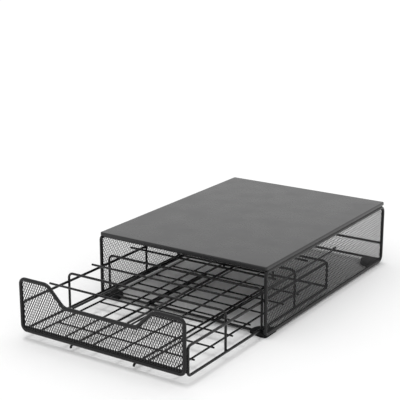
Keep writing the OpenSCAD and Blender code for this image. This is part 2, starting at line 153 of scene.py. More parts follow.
@dataclass(frozen=True)
class PowderCoat:
    """Polyester powder, sprayed on steel and baked until it flows.

    It gives an even black with a soft sheen, broken up by a fine orange peel. The film is thinner
    and a little glossier in some places than in others. Peel and flecks have their real size, so
    that they show from close by only.
    """

    name: str
    colour: str = "#0e0e0f"
    bloom: str = "#18181a"
    roughness: float = 0.24
    roughness_spread: float = 0.06
    specular: float = 0.31
    ior: float = 1.5
    peel_mm: float = 0.9
    peel_depth_mm: float = 0.006
    drift_mm: float = 35.0
    drift_range: Point2 = (0.3, 0.7)
    fleck_mm: float = 0.45
    fleck_range: Point2 = (0.56, 0.78)
    wave_mm: float = 120.0
    wave_depth_mm: float = 0.0

    def make(self) -> bpy.types.Material:
        """Build the coat's shader.

        Returns:
            The finished material.
        """
        material, tree = empty_material(self.name)
        where = add_node(tree, "ShaderNodeTexCoord").outputs["Object"]
        # Orange peel: the skin that powder leaves when it flows, about a millimetre between crests
        peel = add_node(
            tree,
            "ShaderNodeTexNoise",
            {"Vector": where, "Scale": per_metre(self.peel_mm), "Detail": 2.0},
        )
        # Drift of the film's thickness along a part, a few centimetres across
        drift = add_node(
            tree,
            "ShaderNodeTexNoise",
            {"Vector": where, "Scale": per_metre(self.drift_mm), "Detail": 3.0},
        )
        # Pin-sized flecks of undispersed pigment
        fleck = add_node(
            tree,
            "ShaderNodeTexNoise",
            {"Vector": where, "Scale": per_metre(self.fleck_mm), "Detail": 1.0},
        )
        fleck_ramp = add_node(tree, "ShaderNodeValToRGB", {"Fac": fleck.outputs["Fac"]})
        stops = fleck_ramp.color_ramp.elements
        stops[0].position, stops[1].position = self.fleck_range
        haze = add_node(
            tree,
            "ShaderNodeMath",
            {0: drift.outputs["Fac"], 1: fleck_ramp.outputs["Color"]},
            operation="MULTIPLY",
            use_clamp=True,
        )
        colour = add_node(
            tree,
            "ShaderNodeMix",
            {"Factor": haze.outputs[0], 6: linear(self.colour), 7: linear(self.bloom)},
            data_type="RGBA",
        )
        roughness = add_node(
            tree,
            "ShaderNodeMapRange",
            {
                "Value": drift.outputs["Fac"],
                "From Min": self.drift_range[0],
                "From Max": self.drift_range[1],
                "To Min": self.roughness - self.roughness_spread / 2,
                "To Max": self.roughness + self.roughness_spread / 2,
            },
        )
        normal: Inputs = {}
        if self.wave_depth_mm > 0:
            # Sheet never lies quite flat: long shallow waves bend what it reflects
            wave = add_node(
                tree,
                "ShaderNodeTexNoise",
                {"Vector": where, "Scale": per_metre(self.wave_mm), "Detail": 1.0},
            )
            bowed = add_node(
                tree,
                "ShaderNodeBump",
                {"Height": wave.outputs["Fac"], "Distance": self.wave_depth_mm * MM},
            )
            normal["Normal"] = bowed.outputs["Normal"]
        skin = add_node(
            tree,
            "ShaderNodeBump",
            {"Height": peel.outputs["Fac"], "Distance": self.peel_depth_mm * MM, **normal},
        )
        coat = add_node(
            tree,
            "ShaderNodeBsdfPrincipled",
            {
                "Base Color": colour.outputs[2],
                "Roughness": roughness.outputs["Result"],
                "Normal": skin.outputs["Normal"],
                "Metallic": 0.0,
                "IOR": self.ior,
                "Specular IOR Level": self.specular,
            },
        )
        add_node(tree, "ShaderNodeOutputMaterial", {"Surface": coat.outputs["BSDF"]})
        return material


@dataclass(frozen=True)
class MouldedRubber:
    """Black thermoplastic rubber, moulded in a spark-eroded tool.

    It gives a dull charcoal with a fine even grain and almost no highlight.
    """

    name: str
    colour: str = "#0b0b0c"
    dust: str = "#151516"
    roughness: float = 0.72
    specular: float = 0.2
    ior: float = 1.5
    grain_mm: float = 0.35
    grain_depth_mm: float = 0.03
    smudge_mm: float = 9.0

    def make(self) -> bpy.types.Material:
        """Build the rubber's shader.

        Returns:
            The finished material.
        """
        material, tree = empty_material(self.name)
        where = add_node(tree, "ShaderNodeTexCoord").outputs["Object"]
        # Spark-eroded grain, a third of a millimetre across, so that it shows from close by only
        grain = add_node(
            tree,
            "ShaderNodeTexNoise",
            {"Vector": where, "Scale": per_metre(self.grain_mm), "Detail": 3.0},
        )
        # Dust and handling, in patches of about a centimetre
        smudge = add_node(
            tree,
            "ShaderNodeTexNoise",
            {"Vector": where, "Scale": per_metre(self.smudge_mm), "Detail": 4.0},
        )
        colour = add_node(
            tree,
            "ShaderNodeMix",
            {"Factor": smudge.outputs["Fac"], 6: linear(self.colour), 7: linear(self.dust)},
            data_type="RGBA",
        )
        skin = add_node(
            tree,
            "ShaderNodeBump",
            {"Height": grain.outputs["Fac"], "Distance": self.grain_depth_mm * MM},
        )
        rubber = add_node(
            tree,
            "ShaderNodeBsdfPrincipled",
            {
                "Base Color": colour.outputs[2],
                "Roughness": self.roughness,
                "Normal": skin.outputs["Normal"],
                "IOR": self.ior,
                "Specular IOR Level": self.specular,
            },
        )
        add_node(tree, "ShaderNodeOutputMaterial", {"Surface": rubber.outputs["BSDF"]})
        return material


@dataclass
class Finishes:
    """The finished materials, one for each slot of the record."""

    plate: bpy.types.Material = field(
        default_factory=lambda: PowderCoat(
            "satin_powder_coat_sheet",
            colour="#161617",
            bloom="#1f1f21",
            roughness=0.28,
            specular=0.46,
            peel_mm=1.3,
            peel_depth_mm=0.01,
            wave_depth_mm=0.12,
        ).make()
    )
    wire: bpy.types.Material = field(
        default_factory=lambda: PowderCoat("semi_gloss_powder_coat_wire").make()
    )
    mesh: bpy.types.Material = field(
        default_factory=lambda: PowderCoat(
            "semi_gloss_powder_coat_expanded_mesh", colour="#0d0d0e", roughness=0.4, peel_mm=0.6
        ).make()
    )
    foot: bpy.types.Material = field(
        default_factory=lambda: MouldedRubber("moulded_rubber").make()
    )

    def of(self, slot: Slot) -> bpy.types.Material:
        """The material of a slot."""
        return getattr(self, slot.value)


# ---- Forms -------------------------------------------------------------------------------------


@dataclass
class Form:
    """Vertices and faces of a piece while it is made, in millimetres of the row frame."""

    vertices: list[Vector] = field(default_factory=list)
    faces: list[tuple[int, ...]] = field(default_factory=list)

    def loop(self, points: Iterable[Sequence[float]]) -> list[int]:
        """Add points.

        Args:
            points: Where they lie.

        Returns:
            Their numbers.
        """
        first = len(self.vertices)
        self.vertices.extend(Vector(p) for p in points)
        return list(range(first, len(self.vertices)))

    def bridge(self, first: list[int], second: list[int]) -> None:
        """Join two closed loops of equal length with quads.

        Args:
            first: Numbers of the points of one loop.
            second: Numbers of the points of the other.
        """
        count = len(first)
        for i in range(count):
            j = (i + 1) % count
            self.faces.append((first[i], first[j], second[j], second[i]))

    def bridge_all(self, loops: Sequence[list[int]]) -> None:
        """Join each loop to the next with quads."""
        for first, second in zip(loops, loops[1:], strict=False):
            self.bridge(first, second)

    def cap(self, loop: list[int]) -> None:
        """Close a loop with one face."""
        self.faces.append(tuple(loop))

    def piece(
        self,
        name: str,
        slot: Slot,
        body: Body,
        finishes: Finishes,
        replaced: Sequence[str] = (),
        crease: float = 35.0,
    ) -> bpy.types.Object:
        """Turn the form into a piece that rides on a body.

        Args:
            name: Name of the piece.
            slot: Material slot that it takes its finish from.
            body: Body that it moves with.
            finishes: The finished materials.
            replaced: CAD nodes that it stands for.
            crease: Edges that turn by more than this many degrees stay sharp.

        Returns:
            The new object.
        """
        data = bpy.data.meshes.new(name)
        data.from_pydata([v * MM for v in self.vertices], [], self.faces)
        shape = bmesh.new()
        shape.from_mesh(data)
        bmesh.ops.recalc_face_normals(shape, faces=shape.faces)
        shape.to_mesh(data)
        shape.free()
        data.shade_smooth()
        data.set_sharp_from_angle(angle=math.radians(crease))
        data.materials.append(finishes.of(slot))
        piece = bpy.data.objects.new(name, data)
        bpy.context.scene.collection.objects.link(piece)
        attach(piece, body.value)
        if replaced:
            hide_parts(*replaced)
        LOG.info("%s: %d faces on %s", name, len(data.polygons), body.value)
        return piece


def node_box(node: str) -> tuple[Vector, Vector]:
    """Lowest and highest corner of a CAD node, in millimetres."""
    low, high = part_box(node)
    return low / MM, high / MM


def unit(x: float, y: float) -> Point2:
    """The direction of (x, y)."""
    length = math.hypot(x, y)
    return x / length, y / length


@dataclass(frozen=True)
class Corner:
    """One rounded corner of a closed outline that is drawn with its inside on the left."""

    at: Point2
    back: Point2
    ahead: Point2
    radius: float

    @property
    def turn(self) -> float:
        """Angle that the outline turns through, in radians."""
        dot = -(self.back[0] * self.ahead[0] + self.back[1] * self.ahead[1])
        return math.acos(max(-1.0, min(1.0, dot)))

    @property
    def centre(self) -> Point2:
        """Centre of the rounding."""
        out = unit(self.back[0] + self.ahead[0], self.back[1] + self.ahead[1])
        reach = self.radius / math.cos(self.turn / 2)
        return self.at[0] + out[0] * reach, self.at[1] + out[1] * reach

    def arc(self, steps: int) -> list[Point2]:
        """Lay points along the rounding.

        Args:
            steps: Steps from one end to the other.

        Returns:
            The points, one more than the steps.
        """
        set_back = self.radius * math.tan(self.turn / 2)
        cx, cy = self.centre
        start = math.atan2(
            self.at[1] + self.back[1] * set_back - cy, self.at[0] + self.back[0] * set_back - cx
        )
        sense = 1 if self.ahead[0] * self.back[1] - self.ahead[1] * self.back[0] > 0 else -1
        return [
            (
                cx + self.radius * math.cos(start + sense * self.turn * k / steps),
                cy + self.radius * math.sin(start + sense * self.turn * k / steps),
            )
            for k in range(steps + 1)
        ]

    def edge_bound(self) -> Bound:
        """Point and outward normal of the edge after the corner."""
        return self.at, (self.ahead[1], -self.ahead[0])

    def corner_bound(self) -> Bound:
        """Point and outward normal across the middle of the rounding.

        Returns:
            The line that touches the rounding there.
        """
        cx, cy = self.centre
        out = unit(self.at[0] - cx, self.at[1] - cy)
        return (cx + self.radius * out[0], cy + self.radius * out[1]), out


def corners(
    points: Sequence[Point2], radii: Sequence[float], least: float = 0.05
) -> list[Corner]:
    """Corners of a closed outline.

    Args:
        points: The sharp corners in order.
        radii: The rounding of each.
        least: The smallest rounding, which keeps the number of points the same everywhere.

    Returns:
        One corner for each point.
    """
    count = len(points)
    made = []
    for i, (x, y) in enumerate(points):
        before, after = points[i - 1], points[(i + 1) % count]
        made.append(
            Corner(
                (x, y),
                unit(before[0] - x, before[1] - y),
                unit(after[0] - x, after[1] - y),
                max(radii[i], least),
            )
        )
    return made


def outline(ring: Sequence[Corner], steps: int = 6) -> list[Point2]:
    """All the points round a closed outline with rounded corners."""
    return [p for corner in ring for p in corner.arc(steps)]


def rectangle(low: Point2, high: Point2, inset: float, radii: Sequence[float]) -> list[Corner]:
    """Corners of a rounded rectangle that stands in from low and high.

    Args:
        low: Lowest corner before the inset.
        high: Highest corner before the inset.
        inset: How far the outline stands in.
        radii: The rounding of each corner before the inset.

    Returns:
        The four corners.
    """
    x0, y0, x1, y1 = low[0] + inset, low[1] + inset, high[0] - inset, high[1] - inset
    return corners([(x0, y0), (x1, y0), (x1, y1), (x0, y1)], [radius - inset for radius in radii])


def trimmed(shape: list[Point2], bounds: Iterable[Bound]) -> list[Point2]:
    """Cut a convex outline back to the inner side of every bound.

    Args:
        shape: The outline's points in order.
        bounds: Points and outward normals of the lines to cut along.

    Returns:
        What is left, which may be empty.
    """
    for (px, py), (nx, ny) in bounds:
        kept: list[Point2] = []
        for i, a in enumerate(shape):
            b = shape[(i + 1) % len(shape)]
            out_a = (a[0] - px) * nx + (a[1] - py) * ny
            out_b = (b[0] - px) * nx + (b[1] - py) * ny
            if out_a <= 0:
                kept.append(a)
            if out_a * out_b < 0:
                share = out_a / (out_a - out_b)
                kept.append((a[0] + (b[0] - a[0]) * share, a[1] + (b[1] - a[1]) * share))
        shape = kept
        if len(shape) < 3:
            return []
    return shape


def area(shape: Sequence[Point2]) -> float:
    """Signed area of an outline."""
    return sum(
        a[0] * b[1] - a[1] * b[0] for a, b in zip(shape, [*shape[1:], *shape[:1]], strict=True)
    ) / 2


# ---- Expanded mesh -----------------------------------------------------------------------------


@dataclass
class ExpandedMesh:
    """Steel sheet that is slit and drawn open into diamonds, with a plain border left round them.

    Each strand keeps the slight tilt that drawing gives it, so its upper edge stands proud on one
    face and its lower edge on the other.
    """

    pitch_across: float = 3.82
    pitch_up: float = 7.31
    strand: float = 0.66
    sheet: float = 0.46
    border: float = 0.7
    tilt: float = 0.14
    film: float = 0.09
    tip_round: float = 0.1
    least_opening: float = 0.9
    same_place: float = 1e-6

    def opening(self, x: float, y: float) -> list[Point2]:
        """Draw one diamond opening, whose corners the coating rounds off.

        Args:
            x: Its centre across the sheet.
            y: Its centre up the sheet.

        Returns:
            Eight points round it.
        """
        diagonal = math.hypot(self.pitch_across, self.pitch_up)
        share = 1 - self.strand * diagonal / (self.pitch_across * self.pitch_up)
        w, h = share * self.pitch_across / 2, share * self.pitch_up / 2
        tips = [(-w, 0.0), (0.0, -h), (w, 0.0), (0.0, h)]
        points = []
        for i, (tip_x, tip_y) in enumerate(tips):
            for next_x, next_y in (tips[i - 1], tips[(i + 1) % 4]):
                points.append(
                    (
                        x + tip_x + (next_x - tip_x) * self.tip_round,
                        y + tip_y + (next_y - tip_y) * self.tip_round,
                    )
                )
        return points

    def openings(
        self, middle: Point2, reach: Point2, bounds: Callable[[float], Iterable[Bound]]
    ) -> list[tuple[float, list[Point2]]]:
        """Lay the diamonds out over the sheet.

        Args:
            middle: Centre of the diamond that the rest are counted from.
            reach: How far the diamonds go to each side of it, and up and down.
            bounds: For the place of a diamond across the sheet, the lines that end the open mesh.

        Returns:
            For each opening, the height of its diamond's centre and the points round it.
        """
        found = []
        rows = math.ceil(2 * reach[1] / self.pitch_up)
        columns = math.ceil(reach[0] / self.pitch_across)
        for row in range(-rows, rows + 1):
            for column in range(-columns, columns + 1):
                x = middle[0] + (column + (row % 2) / 2) * self.pitch_across
                y = middle[1] + row * self.pitch_up / 2
                shape = trimmed(self.opening(x, y), bounds(x))
                if len(shape) > 2 and area(shape) > self.least_opening:
                    found.append((y, shape))
        return found

    def form(
        self,
        edge: Callable[[float], list[Point2]],
        holes: list[tuple[float, list[Point2]]],
        place: Place,
    ) -> Form:
        """Make the sheet's two faces and the walls of every opening.

        Args:
            edge: Gives the sheet's outline at an inset from its edge.
            holes: The openings.
            place: Turns across, up and out of the sheet into the row frame.

        Returns:
            The closed form.
        """
        form = Form()
        half = self.sheet / 2
        flat: list[Vector] = []
        lift: list[float] = []
        rims: list[list[int]] = []

        def rim(points: Sequence[Point2], lifts: Sequence[float]) -> None:
            """Add a closed line of the sheet's faces.

            Args:
                points: Where it runs in the sheet's plane.
                lifts: How far the strands' tilt lifts each point.
            """
            first = len(flat)
            flat.extend(Vector(p) for p in points)
            lift.extend(lifts)
            rims.append(list(range(first, len(flat))))

        ground, brink = edge(self.film), edge(0)
        level_edge = [0.0] * len(brink)
        rim(ground, level_edge)
        walls = [(brink, level_edge)]
        for height, shape in holes:
            cx = sum(p[0] for p in shape) / len(shape)
            cy = sum(p[1] for p in shape) / len(shape)
            tilts = [-self.tilt * 2 * (p[1] - height) / self.pitch_up for p in shape]
            wider = []
            for x, y in shape:
                dx, dy = unit(x - cx, y - cy)
                wider.append((x + dx * self.film, y + dy * self.film))
            rim(wider, tilts)
            walls.append((shape, tilts))

        edges = [(a, b) for r in rims for a, b in zip(r, [*r[1:], r[0]], strict=True)]
        _, _, triangles, origins, _, _ = geometry.delaunay_2d_cdt(
            flat, edges, [], 0, self.same_place
        )
        source = [o[0] for o in origins]
        owner = [0] * len(flat)
        for number, r in enumerate(rims):
            for vertex in r:
                owner[vertex] = number

        faces = []
        for triangle in triangles:
            tri = [source[i] for i in triangle]
            owners = {owner[i] for i in tri}
            if len(owners) == 1:
                if owners != {0}:
                    continue
                mid = sum((flat[i] for i in tri), Vector((0.0, 0.0))) / 3
                if not inside(ground, mid.x, mid.y):
                    continue
            faces.append(tri)

        front = form.loop(place(p.x, p.y, half + w) for p, w in zip(flat, lift, strict=True))
        back = form.loop(place(p.x, p.y, w - half) for p, w in zip(flat, lift, strict=True))
        for tri in faces:
            form.faces.append(tuple(front[i] for i in tri))
            form.faces.append(tuple(back[i] for i in reversed(tri)))
        for r, (shape, tilts) in zip(rims, walls, strict=True):
            levels = [[front[i] for i in r]]
            for level in (half - self.film, self.film - half):
                levels.append(
                    form.loop(
                        place(p[0], p[1], level + w) for p, w in zip(shape, tilts, strict=True)
                    )
                )
            form.bridge_all([*levels, [back[i] for i in r]])
        return form


def inside(shape: Sequence[Point2], x: float, y: float) -> bool:
    """Whether a point lies inside a closed outline.

    Args:
        shape: The outline.
        x: The point's place across.
        y: The point's place up.

    Returns:
        True if it does.
    """
    crossings = 0
    for a, b in zip(shape, [*shape[1:], *shape[:1]], strict=True):
        if (a[1] > y) != (b[1] > y) and x < a[0] + (y - a[1]) * (b[0] - a[0]) / (b[1] - a[1]):
            crossings += 1
    return crossings % 2 == 1


# ---- Wire --------------------------------------------------------------------------------------


@dataclass
class StraightWires:
    """Straight wires, cropped to length and tumbled, so that each end has a small round edge."""

    sides: int = 28
    end_round: float = 0.35
    end_steps: int = 3

    def dress(self, node: str, body: Body, finishes: Finishes) -> bpy.types.Object:
        """Remake one straight wire from the place of its CAD node.

        Args:
            node: The CAD node.
            body: Body that it belongs to.
            finishes: The finished materials.

        Returns:
            The new wire.
        """
        low, high = node_box(node)
        size = high - low
        along = max(range(3), key=lambda axis: size[axis])
        first, second = [axis for axis in range(3) if axis != along]
        centre = (low + high) / 2
        radius = (size[first] + size[second]) / 4
        profile = []
        for k in range(self.end_steps + 1):
            angle = QUARTER_TURN * k / self.end_steps
            profile.append(
                (
                    self.end_round * (1 - math.cos(angle)),
                    radius - self.end_round * (1 - math.sin(angle)),
                )
            )
        stations = [(low[along] + a, r) for a, r in profile]
        stations += [(high[along] - a, r) for a, r in reversed(profile)]
        form = Form()
        loops = []
        for place, r in stations:
            ring = []
            for k in range(self.sides):
                angle = math.tau * k / self.sides
                point = Vector((0.0, 0.0, 0.0))
                point[along] = place
                point[first] = centre[first] + r * math.cos(angle)
                point[second] = centre[second] + r * math.sin(angle)
                ring.append(point)
            loops.append(form.loop(ring))
        form.bridge_all(loops)
        form.cap(loops[0])
        form.cap(loops[-1])
        return form.piece(f"wire_{node}", Slot.WIRE, body, finishes, [node], crease=60)


@dataclass
class Welds:
    """The small swellings where two wires were pressed together and welded by a current.

    No two are quite alike: each differs a little in size, and is dented round its girth.
    """

    name: str
    body: Body
    seed: int
    size_range: Point2 = (0.92, 1.1)
    dent: float = 0.05
    form: Form = field(default_factory=Form)
    count: int = 0

    def __post_init__(self) -> None:
        """Seed the small differences between one weld and the next."""
        self.random = random.Random(self.seed)

    def swelling(self, centre: Vector, radii: Reach, rings: int = 5, sides: int = 10) -> None:
        """Add one swelling.

        Args:
            centre: Where the two wires meet.
            radii: Its reach along X, Y and Z.
            rings: Rings of faces from pole to pole.
            sides: Faces round each ring.
        """
        reach = [r * self.random.uniform(*self.size_range) for r in radii]
        loops = []
        for i in range(1, rings):
            polar = math.pi * i / rings
            ring = []
            for k in range(sides):
                angle = math.tau * k / sides
                dent = 1 + self.random.uniform(-self.dent, self.dent)
                ring.append(
                    (
                        centre.x + reach[0] * math.sin(polar) * math.cos(angle) * dent,
                        centre.y + reach[1] * math.sin(polar) * math.sin(angle) * dent,
                        centre.z + reach[2] * math.cos(polar),
                    )
                )
            loops.append(self.form.loop(ring))
        self.form.bridge_all(loops)
        for loop, pole in ((loops[0], 1), (loops[-1], -1)):
            tip = self.form.loop([(centre.x, centre.y, centre.z + pole * reach[2])])[0]
            for k in range(sides):
                self.form.faces.append((loop[k], loop[(k + 1) % sides], tip))
        self.count += 1

    def cross(self, first: str, second: str, radii: Reach, **fixed: float) -> None:
        """Add the weld between two nodes that cross or butt.

        Args:
            first: One CAD node.
            second: The other.
            radii: The swelling's reach along X, Y and Z.
            **fixed: Place along x, y or z that the two boxes don't give.
        """
        low_a, high_a = node_box(first)
        low_b, high_b = node_box(second)
        centre = Vector(
            (max(la, lb) + min(ha, hb)) / 2
            for la, lb, ha, hb in zip(low_a, low_b, high_a, high_b, strict=True)
        )
        for axis, value in fixed.items():
            setattr(centre, axis, value)
        self.swelling(centre, radii)

    def finish(self, finishes: Finishes) -> bpy.types.Object:
        """Make all the swellings one piece."""
        LOG.info("%s: %d welds", self.name, self.count)
        return self.form.piece(self.name, Slot.WIRE, self.body, finishes, crease=180)


# ---- Housing -----------------------------------------------------------------------------------


@dataclass
class TopPlate:
    """Sheet steel top with a lip folded down all round and its corners drawn round."""

    sheet: float = 1.0
    corner: float = 3.0
    corner_steps: int = 8
    fold: float = 1.4
    fold_steps: int = 6
    flat_rim: float = 0.6
    edge: float = 0.25
    edge_middle: float = 0.3

    def build(self, finishes: Finishes) -> bpy.types.Object:
        """Make the sheet from its upper face, over the fold, round the lip's edge and up inside.

        Args:
            finishes: The finished materials.

        Returns:
            The new sheet.
        """
        low, high = node_box("top_plate")
        inner_fold = self.fold - self.sheet
        middle = self.edge * self.edge_middle
        profile = [(self.fold + self.flat_rim, high.z)]
        for k in range(self.fold_steps + 1):
            angle = QUARTER_TURN * k / self.fold_steps
            profile.append(
                (self.fold * (1 - math.sin(angle)), high.z - self.fold * (1 - math.cos(angle)))
            )
        profile += [
            (0.0, low.z + self.edge),
            (middle, low.z + middle),
            (self.edge, low.z),
            (self.sheet - self.edge, low.z),
            (self.sheet - middle, low.z + middle),
            (self.sheet, low.z + self.edge),
        ]
        for k in range(self.fold_steps, -1, -1):
            angle = QUARTER_TURN * k / self.fold_steps
            profile.append(
                (
                    self.fold - inner_fold * math.sin(angle),
                    high.z - self.fold + inner_fold * math.cos(angle),
                )
            )
        form = Form()
        loops = []
        for inset, z in profile:
            ring = rectangle((low.x, low.y), (high.x, high.y), inset, [self.corner] * 4)
            loops.append(form.loop((x, y, z) for x, y in outline(ring, self.corner_steps)))
        form.bridge_all(loops)
        form.cap(loops[0])
        form.cap(loops[-1])
        return form.piece(
            "sheet_top", Slot.PLATE, Body.HOUSING, finishes, ["top_plate"], crease=50
        )


@dataclass
class SideMesh:
    """Expanded mesh that fills a side frame."""

    side: str
    front_corner: float = 1.95
    rear_corner: float = 6.45
    mesh: ExpandedMesh = field(default_factory=ExpandedMesh)

    def build(self, finishes: Finishes) -> bpy.types.Object:
        """Make the sheet in the plane of its CAD node.

        Args:
            finishes: The finished materials.

        Returns:
            The new sheet.
        """
        node = f"side_mesh_{self.side}"
        low, high = node_box(node)
        x = (low.x + high.x) / 2
        outward = 1 if x > 0 else -1
        corner_low, corner_high = (low.y, low.z), (high.y, high.z)
        radii = (self.front_corner, self.rear_corner, self.rear_corner, self.front_corner)
        ring = rectangle(corner_low, corner_high, self.mesh.border, radii)
        bounds = [c.edge_bound() for c in ring] + [c.corner_bound() for c in ring]
        middle = ((low.y + high.y) / 2, (low.z + high.z) / 2)
        holes = self.mesh.openings(
            middle, ((high.y - low.y) / 2, (high.z - low.z) / 2), lambda across: bounds
        )
        form = self.mesh.form(
            lambda inset: outline(rectangle(corner_low, corner_high, inset, radii)),
            holes,
            lambda across, up, out: Vector((x + outward * out, across, up)),
        )
        return form.piece(f"expanded_{node}", Slot.MESH, Body.HOUSING, finishes, [node])


@dataclass
class Foot:
    """Moulded rubber foot: a pad with a large rounding inward and round edges, pressed on.

    A front foot wraps the frame's tight corner. Outside the wire it ends below it, so that the
    wire lies bare there. A rear foot stays inside the wide bend and holds the wire from the inner
    side. The sole's round edge is a row of insets and heights, and the rim's a row of insets and
    drops, in shares of its rounding.
    """

    end: str
    side: str
    leg_x: float = 26.0
    front_leg_y: float = 28.0
    rear_leg_y: float = 34.0
    cover: float = 1.6
    rear_inset: float = 1.0
    heel: float = 9.0
    heel_slope: float = 0.3
    rear_start: float = 3.0
    corner: float = 4.0
    inner_round: float = 20.0
    least_round: float = 0.3
    mesh_slot: float = 0.5
    channel: float = 2.4
    rim_round: float = 1.0
    channel_round: float = 0.4
    sole: tuple[Point2, ...] = ((1.1, 0.0), (0.55, 0.1), (0.2, 0.36), (0.04, 0.8), (0.0, 1.2))
    rim: tuple[Point2, ...] = ((0.0, 1.0), (0.12, 0.5), (0.42, 0.14), (1.0, 0.0))

    @property
    def front(self) -> bool:
        """Whether this is a front foot."""
        return self.end == "front"

    @property
    def outer(self) -> float:
        """Where the foot ends on the outside, from the centre of the side frame's wire."""
        return self.cover if self.front else -self.rear_inset

    @property
    def start(self) -> float:
        """Where the foot begins, from the centre of the post."""
        return -self.cover if self.front else self.rear_start

    def ring(self, outer: float, inset: float) -> list[Point2]:
        """The foot's outline at an inset, from the centres of the wires at its corner.

        Args:
            outer: Where the foot ends on the outside.
            inset: How far the ring stands in from the outline.

        Returns:
            The points round it.
        """
        leg_y = self.front_leg_y if self.front else self.rear_leg_y
        start, small = self.start, self.corner / 2
        points = [
            (outer - inset, start + inset),
            (outer - inset, leg_y - inset),
            (-self.leg_x + inset, leg_y - inset),
        ]
        radii = [small if outer < 0 else self.corner, small, self.inner_round, small]
        if self.front:
            rise = self.heel_slope * (self.leg_x - self.heel)
            slant = math.hypot(1, self.heel_slope)
            points.append((-self.leg_x + inset, start + rise + (slant - self.heel_slope) * inset))
            points.append((-self.heel + (slant - 1) / self.heel_slope * inset, start + inset))
            radii.append(small)
        else:
            points.append((-self.leg_x + inset, start + inset))
        return outline(corners(points, [radius - inset for radius in radii], self.least_round))

    def build(self, finishes: Finishes) -> bpy.types.Object:
        """Make the foot in the place of its CAD node.

        Args:
            finishes: The finished materials.

        Returns:
            The new foot.
        """
        node = f"foot_{self.end}_{self.side}"
        low, high = node_box(node)
        across = 1 if self.side == "right" else -1
        onward = 1 if self.front else -1
        x0 = (high.x if across > 0 else low.x) - across * self.outer
        y0 = (low.y if onward > 0 else high.y) - onward * self.start
        blocks = [(self.outer, high.z, self.rim_round)]
        if self.front:
            blocks = [
                (self.outer, self.channel, self.channel_round),
                (-self.mesh_slot, high.z, self.rim_round),
            ]
        form = Form()
        for outer, top, edge in blocks:
            rim = [(inset * edge, top - drop * edge) for inset, drop in self.rim]
            loops = []
            for inset, z in [*self.sole, *rim]:
                ring = [(x0 + across * x, y0 + onward * y, z) for x, y in self.ring(outer, inset)]
                loops.append(form.loop(ring))
            form.bridge_all(loops)
            form.cap(loops[0])
            form.cap(loops[-1])
        return form.piece(f"rubber_{node}", Slot.FOOT, Body.HOUSING, finishes, [node], crease=50)


@dataclass
class Housing:
    """The welded housing: sheet top, side frames with their mesh, cross bars, guides and feet."""

    top_weld_places: tuple[float, ...] = (12.0, 130.0, 234.0, 346.0)
    straight: tuple[str, ...] = (
        "front_top_bar",
        "middle_top_bar_front",
        "middle_top_bar_rear",
        "rear_top_bar",
        "front_bottom_bar",
        "rear_bottom_bar",
        "rear_stop_bar",
    )
    bent: tuple[str, ...] = (
        "housing_frame_left",
        "housing_frame_right",
        "guide_left",
        "guide_right",
    )
    frame_wire: float = 4.8
    # How far a weld's centre lies above the wire that it sits on
    film: float = 0.02
    butt_weld: Reach = (0.5, 2.1, 2.1)
    lip_weld: Reach = (1.6, 0.5, 0.9)
    # Places of the welds on the lip and on the sheet, in shares of the side frame's place along X
    lip_weld_share: float = 0.93
    middle_bar_weld: Reach = (1.2, 1.8, 0.5)
    guide_weld: Reach = (1.3, 1.4, 0.5)
    sheet_weld_share: float = 0.999
    sheet_weld: Reach = (0.9, 3.2, 0.75)

    def build(self, finishes: Finishes) -> None:
        """Make and dress every piece of the housing.

        Args:
            finishes: The finished materials.
        """
        TopPlate().build(finishes)
        wires = StraightWires()
        for node in self.straight:
            wires.dress(node, Body.HOUSING, finishes)
        for node in self.bent:
            dress_node(node, Slot.WIRE, finishes)
        for side in ("left", "right"):
            SideMesh(side).build(finishes)
            for end in ("front", "rear"):
                Foot(end, side).build(finishes)
        self.weld(finishes)

    def weld(self, finishes: Finishes) -> None:
        """Add the welds that hold the housing together.

        Args:
            finishes: The finished materials.
        """
        welds = Welds("housing_welds", Body.HOUSING, seed=11)
        low, high = node_box("top_plate")
        lip_front, lip_rear = low.y + TopPlate.sheet, high.y - TopPlate.sheet
        for side in ("left", "right"):
            side_frame = f"housing_frame_{side}"
            low, high = node_box(side_frame)
            x = (low.x + high.x) / 2
            for bar in ("front_bottom_bar", "rear_bottom_bar", "rear_stop_bar"):
                welds.cross(bar, side_frame, self.butt_weld)
            for bar, lip in (("front_top_bar", lip_front), ("rear_top_bar", lip_rear)):
                welds.cross(bar, "top_plate", self.lip_weld, x=x * self.lip_weld_share, y=lip)
            for bar in ("middle_top_bar_front", "middle_top_bar_rear"):
                welds.cross(bar, side_frame, self.middle_bar_weld)
            for bar in ("front_bottom_bar", "rear_bottom_bar"):
                bar_top = node_box(bar)[1].z
                welds.cross(f"guide_{side}", bar, self.guide_weld, z=bar_top + self.film)
            for place in self.top_weld_places:
                y = low.y + self.frame_wire / 2 + place
                centre = Vector((x * self.sheet_weld_share, y, high.z + self.film))
                welds.swelling(centre, self.sheet_weld)
        welds.finish(finishes)


# ---- Drawer ------------------------------------------------------------------------------------


